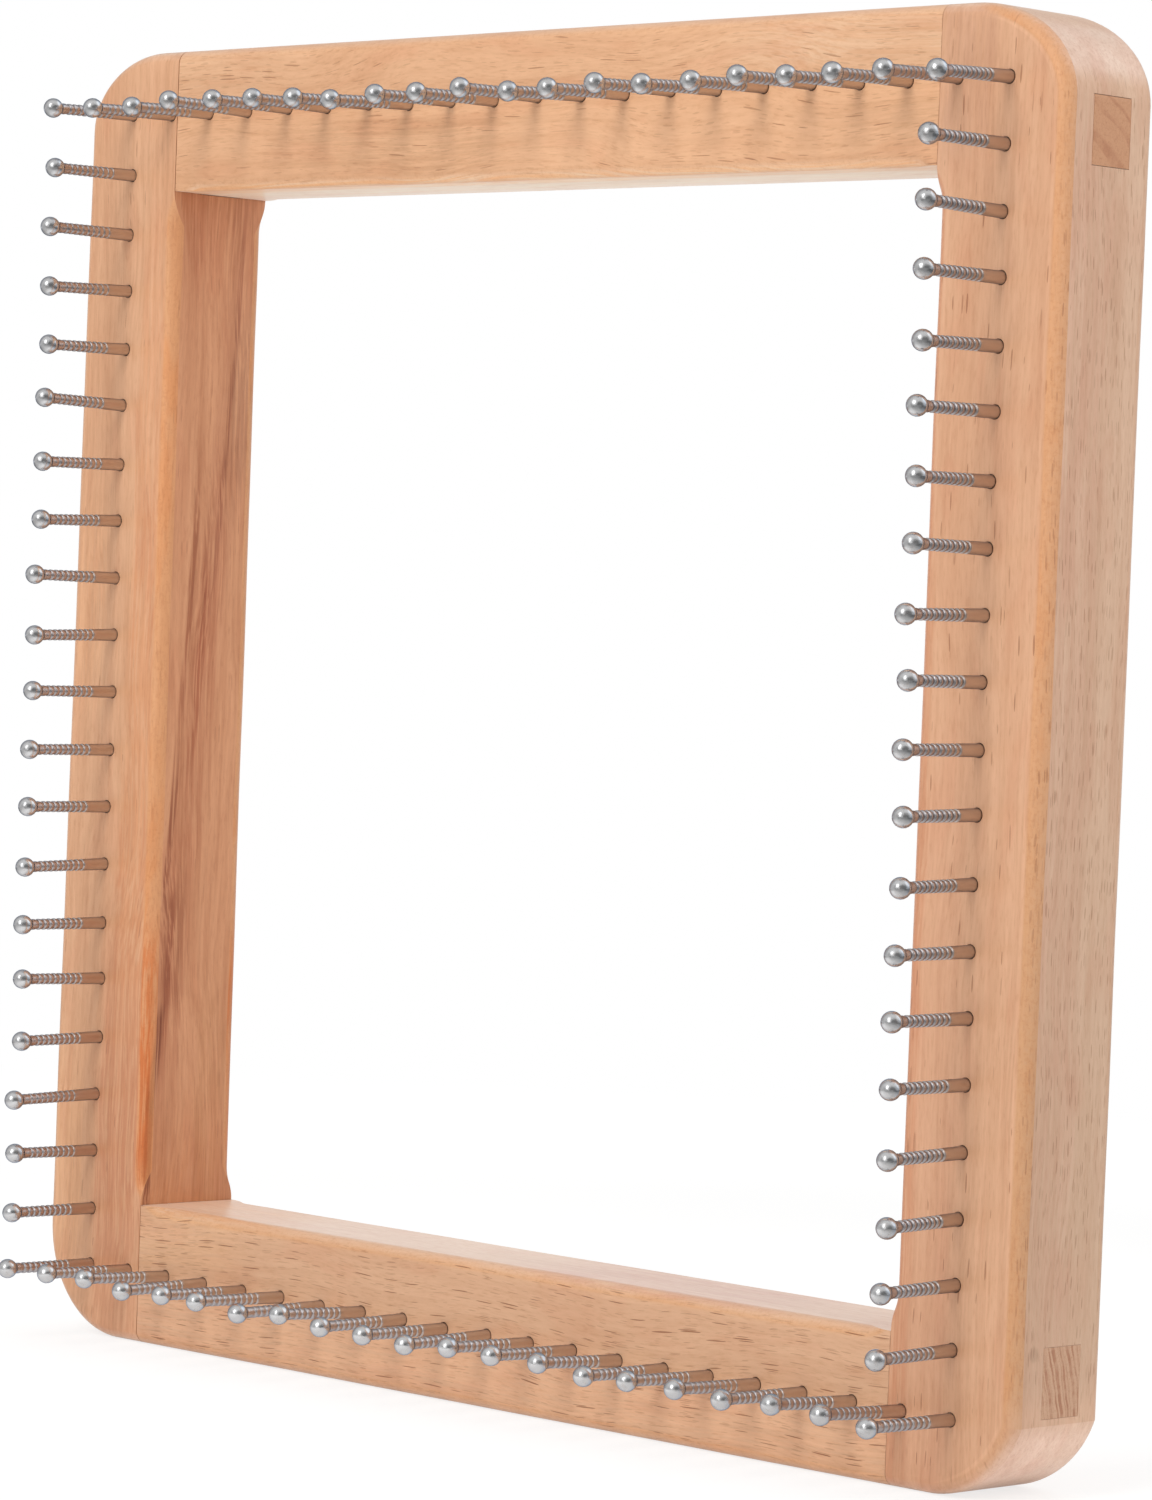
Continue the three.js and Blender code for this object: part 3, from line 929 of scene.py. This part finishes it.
def bottom_rail_wood():
    # Tones: the top face (inner) is pale as painted light from above and painted sheen.
    tones = {"front": linear(220, 174, 138), "outer": linear(222, 182, 152),
             "inner": linear(234, 202, 178), "end": linear(216, 176, 146)}
    wood = Beech("beech_rail_bottom", False, -1, tones, (5, -58), (911, 0, 0), 7.0)
    wood.streaks(0.35, 0.4)
    wood.sanded_edge(wood.eased, linear(226, 172, 124), 0.5, 0.2)
    wood.dashes(0.35, 1.6, 0.16, 0.5)
    wood.bands(wood.inner, [
        # Painted light: this orange band stands for light bounced off the left stile onto the top face.
        ((-100, 0), (-58, 0), 9, 3, (0.98, 0.86, 0.72), 1.0, 10),
        ((6, 0), (60, 0), 9, 3, (0.91, 0.82, 0.84), 1.0, 12)])
    wood.bands(wood.front, [
        ((-95, 19), (-62, 19), 3.0, 2.5, (1.08, 1.08, 1.04), 1.0, 8),
        # Painted light: this long lighter band low on the front stands for light bounced up from the floor.
        ((-100, 5), (100, 5), 3.0, 2.5, (1.09, 1.07, 1.05), 1.0, 8)])
    marks = wood.dashes(1.0, 3.0, 0.14, 0.3)
    wood.dashes(0.35, 2.0, 0.11, 0.3)
    wood.joint_line("left", 0.3, 0.5)
    wood.joint_line("right", 0.25, 0.5)
    wood.end_rings(1.0, 0.75, linear(206, 165, 135), (0.46, 0.58))
    return wood.finished(marks)


# Polished steel: bright on the ball, greyer on the shank and warmer in smears. Towards the wood the warmer
# colour is a painted reflection of the wood.

STEEL_BALL = linear(226, 226, 227)
STEEL_NECK = linear(200, 210, 222)
STEEL_SHANK = linear(195, 190, 191)
STEEL_SMEAR_AND_WOOD_REFLECTION = linear(206, 194, 186)
STEEL_AT_RIM = (0.38, 0.43, 0.55, 1)
BALL_DEPTH = -(HALF_THICKNESS + PIN_STANDOUT)


def steel():
    material = bpy.data.materials.new("polished_steel")
    tree = Tree(material)
    place = tree.vector("MULTIPLY", tree.node("ShaderNodeTexCoord").outputs["Object"], TO_MM)
    depth = tree.split(place)[1]
    shank = tree.step(depth, BALL_DEPTH + 1.5, BALL_DEPTH + 2.1)
    wood_reflection = tree.step(depth, BALL_DEPTH + 7.5, BALL_DEPTH + 15.5)
    smear = tree.noise(place, scale=1.1, detail=3.0)
    colour = tree.mix(tree.step(depth, BALL_DEPTH - 0.5, BALL_DEPTH + 0.6), STEEL_BALL, STEEL_NECK)
    colour = tree.mix(shank, colour, STEEL_SHANK)
    # Painted reflection: the shank is warmer towards the wood, for the wood it mirrors.
    colour = tree.mix(wood_reflection, colour, STEEL_SMEAR_AND_WOOD_REFLECTION)
    colour = tree.mix(tree.step(smear, 0.5, 0.75, 0.0, 0.3), colour, STEEL_SMEAR_AND_WOOD_REFLECTION)
    roughness = tree.plus(tree.step(smear, 0.3, 0.7, 0.2, 0.28), tree.times(shank, 0.08))
    dents = tree.noise(place, scale=1.6, detail=1.0)
    bump = tree.node("ShaderNodeBump", {"Strength": 0.35, "Distance": RELIEF, "Height": dents})
    shader = tree.node("ShaderNodeBsdfPrincipled", {
        "Base Color": colour, "Roughness": roughness, "Normal": bump.outputs[0]})
    shader.inputs["Metallic"].default_value = 1
    shader.inputs["Specular Tint"].default_value = STEEL_AT_RIM
    tree.surface(shader.outputs[0])
    return material


# The board

pins = pin_places()
plate = eased_plate()
body = eased_frame(plate)

woods = {
    "stile_left": left_stile_wood(),
    "stile_right": right_stile_wood(),
    "rail_top": top_rail_wood(),
    "rail_bottom": bottom_rail_wood(),
}

members = {
    "stile_left": stile(body, -1, [pin for pin in pins if pin["x"] < 0]),
    "stile_right": stile(body, 1, [pin for pin in pins if pin["x"] > 0]),
    "rail_top": rail(body, plate, 1, [pin for pin in pins if pin["row"] == "top"]),
    "rail_bottom": rail(body, plate, -1, [pin for pin in pins if pin["row"] == "bottom"]),
}
removed(plate)
removed(body)
for name, piece in members.items():
    finished(piece, "beech_" + name, woods[name], name)

# Each steel pin stands for the CAD node that holds its number
polished_steel = steel()
carriers = {}
for node in frame["nodes"]:
    parts = node.split("_")
    if parts[0] in ("pin", "pins"):
        for number in parts[2:]:
            carriers[(parts[1], int(number))] = node

for pin in pins:
    points, faces = turned(pin_profile(pin["out"], pin["ring_depth"]), PIN_SIDES)
    piece = mesh_object("pin", driven_in(pin, points), faces)
    name = f"ring_pin_{pin['row']}_{pin['number']:02d}"
    node = carriers[(pin["row"], pin["number"])]
    finished(piece, name, polished_steel, node, creased=False)

# Floor: pale and white to the camera, with a faint shadow near the board, and dimmer in
# reflections. Distances are in metres from the board's foot.

WHITE = (1, 1, 1, 1)
BLACK = (0, 0, 0, 1)
FLOOR_HALF = 6
FLOOR_COLOUR = (0.9, 0.89, 0.88, 1)
SHADOW_CATCH = (0.3, 0.3, 0.3, 1)
SHADOW_LEVEL = 0.76
FADE_FROM = 0.2
FADE_TO = 0.6
GLOW_BELOW = 0.12

# Directions of the bright backdrop and of the dim right side, and the floor's level in
# reflections at the board's foot and further off
BACKDROP = Vector((-0.70, 0.71, 0))
RIGHT_SIDE = Vector((0.95, -0.30, 0))
FOOT_LEVEL = 0.88
DIM_FLOOR = 0.3


def floor_material():
    material = bpy.data.materials.new("pale_floor")
    tree = Tree(material)
    path = tree.node("ShaderNodeLightPath").outputs
    mirrored = tree.math("MAXIMUM", path["Is Glossy Ray"], path["Is Transmission Ray"])
    seen = tree.math("MAXIMUM", path["Is Camera Ray"], mirrored)
    pale = tree.node("ShaderNodeBsdfDiffuse", {"Color": FLOOR_COLOUR})
    soft = tree.node("ShaderNodeEmission", {"Color": WHITE, "Strength": GLOW_BELOW})
    diffuse = tree.node("ShaderNodeAddShader", {0: pale.outputs[0], 1: soft.outputs[0]})
    place = tree.node("ShaderNodeTexCoord").outputs["Object"]
    far = tree.step(tree.vector("LENGTH", place), FADE_FROM, FADE_TO)
    faint = tree.mix(far, SHADOW_CATCH, BLACK)
    thin = tree.node("ShaderNodeBsdfDiffuse", {"Color": faint})
    behind = tree.step(tree.vector("DOT_PRODUCT", place, BACKDROP), 0.7, 1.2)
    near = tree.step(tree.vector("LENGTH", place), 0.08, 0.3, FOOT_LEVEL, DIM_FLOOR)
    in_front = tree.step(tree.split(place)[1], -0.1, -0.35, 0.0, 0.2)
    near = tree.plus(near, in_front)
    beside = tree.step(tree.vector("DOT_PRODUCT", place, RIGHT_SIDE), 0.02, 0.22, 1.0, 0.55)
    # Painted shadow: in reflections the floor is darker just in front of the board's foot, where the board's
    # shadow lies.
    at_foot = tree.step(tree.split(place)[1], -0.07, -0.035, 1.0, 0.75)
    near = tree.times(near, tree.times(beside, at_foot))
    reflected = tree.math("MAXIMUM", near, behind)
    dimmed = tree.math("MULTIPLY_ADD", tree.minus(reflected, 1.0), mirrored, 1.0)
    strength = tree.times(tree.step(far, 0, 1, SHADOW_LEVEL, 1), dimmed)
    glow = tree.node("ShaderNodeEmission", {"Color": WHITE, "Strength": strength})
    shown = tree.node("ShaderNodeAddShader", {0: thin.outputs[0], 1: glow.outputs[0]})
    mixed = tree.node("ShaderNodeMixShader", {0: seen, 1: diffuse.outputs[0], 2: shown.outputs[0]})
    tree.surface(mixed.outputs[0])
    return material


floor = mesh_object("floor", [
    (-FLOOR_HALF, -FLOOR_HALF, 0), (FLOOR_HALF, -FLOOR_HALF, 0),
    (FLOOR_HALF, FLOOR_HALF, 0), (-FLOOR_HALF, FLOOR_HALF, 0)], [(0, 1, 2, 3)])
floor.data.materials.append(floor_material())

# World: white to the camera, a soft light from all round that is stronger on the fill's side,
# and for reflections a dim room with a bright wall, a lamp's patch and a window

DIM_SIDE = Vector((0.95, -0.30, 0.12))
KEY_SIDE = Vector((0.10, -0.85, 0.50))
TAIL_SIDE = Vector((0.26, -0.96, 0.08))
WINDOW_SIDE = Vector((0.40, 0.70, 0.60))
FILL_SIDE = Vector((0.52, 0.66, 0.55))
WORLD_LEVEL = 0.55
FILL_LEVEL = 0.95
FILL_COLOUR = (1, 0.99, 0.98, 1)


def patch(tree, direction, middle, stretch, edge, core, strength):
    """Light round one direction, fading from its core to its edge."""
    away = tree.vector("SUBTRACT", direction, middle.normalized())
    distance = tree.vector("LENGTH", tree.vector("MULTIPLY", away, stretch))
    return tree.step(distance, edge, core, 0.0, strength)


def world():
    made = bpy.data.worlds.new("studio")
    bpy.context.scene.world = made
    tree = Tree(made)
    path = tree.node("ShaderNodeLightPath").outputs
    direction = tree.node("ShaderNodeTexCoord").outputs["Generated"]
    behind = tree.vector("DOT_PRODUCT", direction, BACKDROP)
    side = tree.vector("DOT_PRODUCT", direction, DIM_SIDE.normalized())
    around_fill = tree.vector("DOT_PRODUCT", direction, FILL_SIDE.normalized())
    around_window = tree.vector("DOT_PRODUCT", direction, WINDOW_SIDE.normalized())
    up = tree.split(direction)[2]
    # Reflections of the room: dim round the camera, lighter overhead, and bright at the backdrop
    level = tree.step(behind, -0.7, 0.1, 0.36, 0.58)
    level = tree.times(level, tree.step(behind, 0.1, 0.45, 1.0, 0.75))
    level = tree.plus(level, tree.step(behind, 0.88, 0.97, 0.0, 0.6))
    ceiling = tree.times(tree.step(up, 0.15, 0.7, 0.0, 0.28), tree.step(behind, 0.3, -0.5))
    level = tree.plus(level, ceiling)
    level = tree.times(level, tree.step(side, 0.7, 0.95, 1.0, 0.4))
    # The lamp, the softer light below it and the window
    lamp = patch(tree, direction, KEY_SIDE, (1.0, 0.8, 0.6), 0.3, 0.1, 1.9)
    level = tree.plus(level, lamp)
    tail = patch(tree, direction, TAIL_SIDE, (0.7, 1.0, 0.9), 0.34, 0.08, 0.5)
    level = tree.plus(level, tail)
    level = tree.plus(level, tree.step(around_window, 0.86, 0.97, 0.0, 0.6))
    filled = tree.step(around_fill, 0.0, 0.9, WORLD_LEVEL, FILL_LEVEL)
    white = tree.node("ShaderNodeBackground", {"Color": WHITE, "Strength": 1.0})
    mirrored = tree.node("ShaderNodeBackground", {"Color": WHITE, "Strength": level})
    light = tree.node("ShaderNodeBackground", {"Color": FILL_COLOUR, "Strength": filled})
    glossy = tree.math("MAXIMUM", path["Is Glossy Ray"], path["Is Transmission Ray"])
    dressed = tree.node("ShaderNodeMixShader", {0: glossy, 1: light.outputs[0], 2: mirrored.outputs[0]})
    seen = tree.node("ShaderNodeMixShader", {
        0: path["Is Camera Ray"], 1: dressed.outputs[0], 2: white.outputs[0]})
    tree.node("ShaderNodeOutputWorld", {"Surface": seen.outputs[0]})


world()


def softbox(name, place, target, width, height, watts):
    lamp = bpy.data.lights.new(name, "AREA")
    lamp.shape = "RECTANGLE"
    lamp.size = width
    lamp.size_y = height
    lamp.energy = watts
    obj = bpy.data.objects.new(name, lamp)
    bpy.context.scene.collection.objects.link(obj)
    obj.location = place
    obj.rotation_mode = "QUATERNION"
    obj.rotation_quaternion = (Vector(target) - Vector(place)).to_track_quat("-Z", "Y")
    obj.visible_glossy = False


# The key lamp. Reflections show the world's patch in its place.
KEY_PLACE = (0.17, -1.15, 1.05)
KEY_TARGET = (0, 0, 0.11)
KEY_WIDTH = 0.6
KEY_HEIGHT = 1.3
KEY_WATTS = 10

softbox("key", KEY_PLACE, KEY_TARGET, KEY_WIDTH, KEY_HEIGHT, KEY_WATTS)

# Camera, where the photograph was taken from. The lens is for the long side of the frame.

CAMERA_PLACE = Vector((0.63541, -0.63239, 0.13154))
CAMERA_FORWARD = Vector((-0.70588658, 0.70782022, -0.02673324))
CAMERA_DOWN = Vector((0.04860371, 0.01074935, -0.9987603))
CAMERA_LENS = 131.84

lens = bpy.data.cameras.new("camera")
lens.lens = CAMERA_LENS
lens.sensor_width = 36
lens.clip_start = 0.01
lens.clip_end = 50
camera = bpy.data.objects.new("camera", lens)
bpy.context.scene.collection.objects.link(camera)
back = -CAMERA_FORWARD.normalized()
right = (-CAMERA_DOWN).cross(back).normalized()
turn = Matrix((right, back.cross(right), back)).transposed()
camera.matrix_world = Matrix.Translation(CAMERA_PLACE) @ turn.to_4x4()
bpy.context.scene.camera = camera

bpy.context.scene.view_settings.view_transform = "Standard"
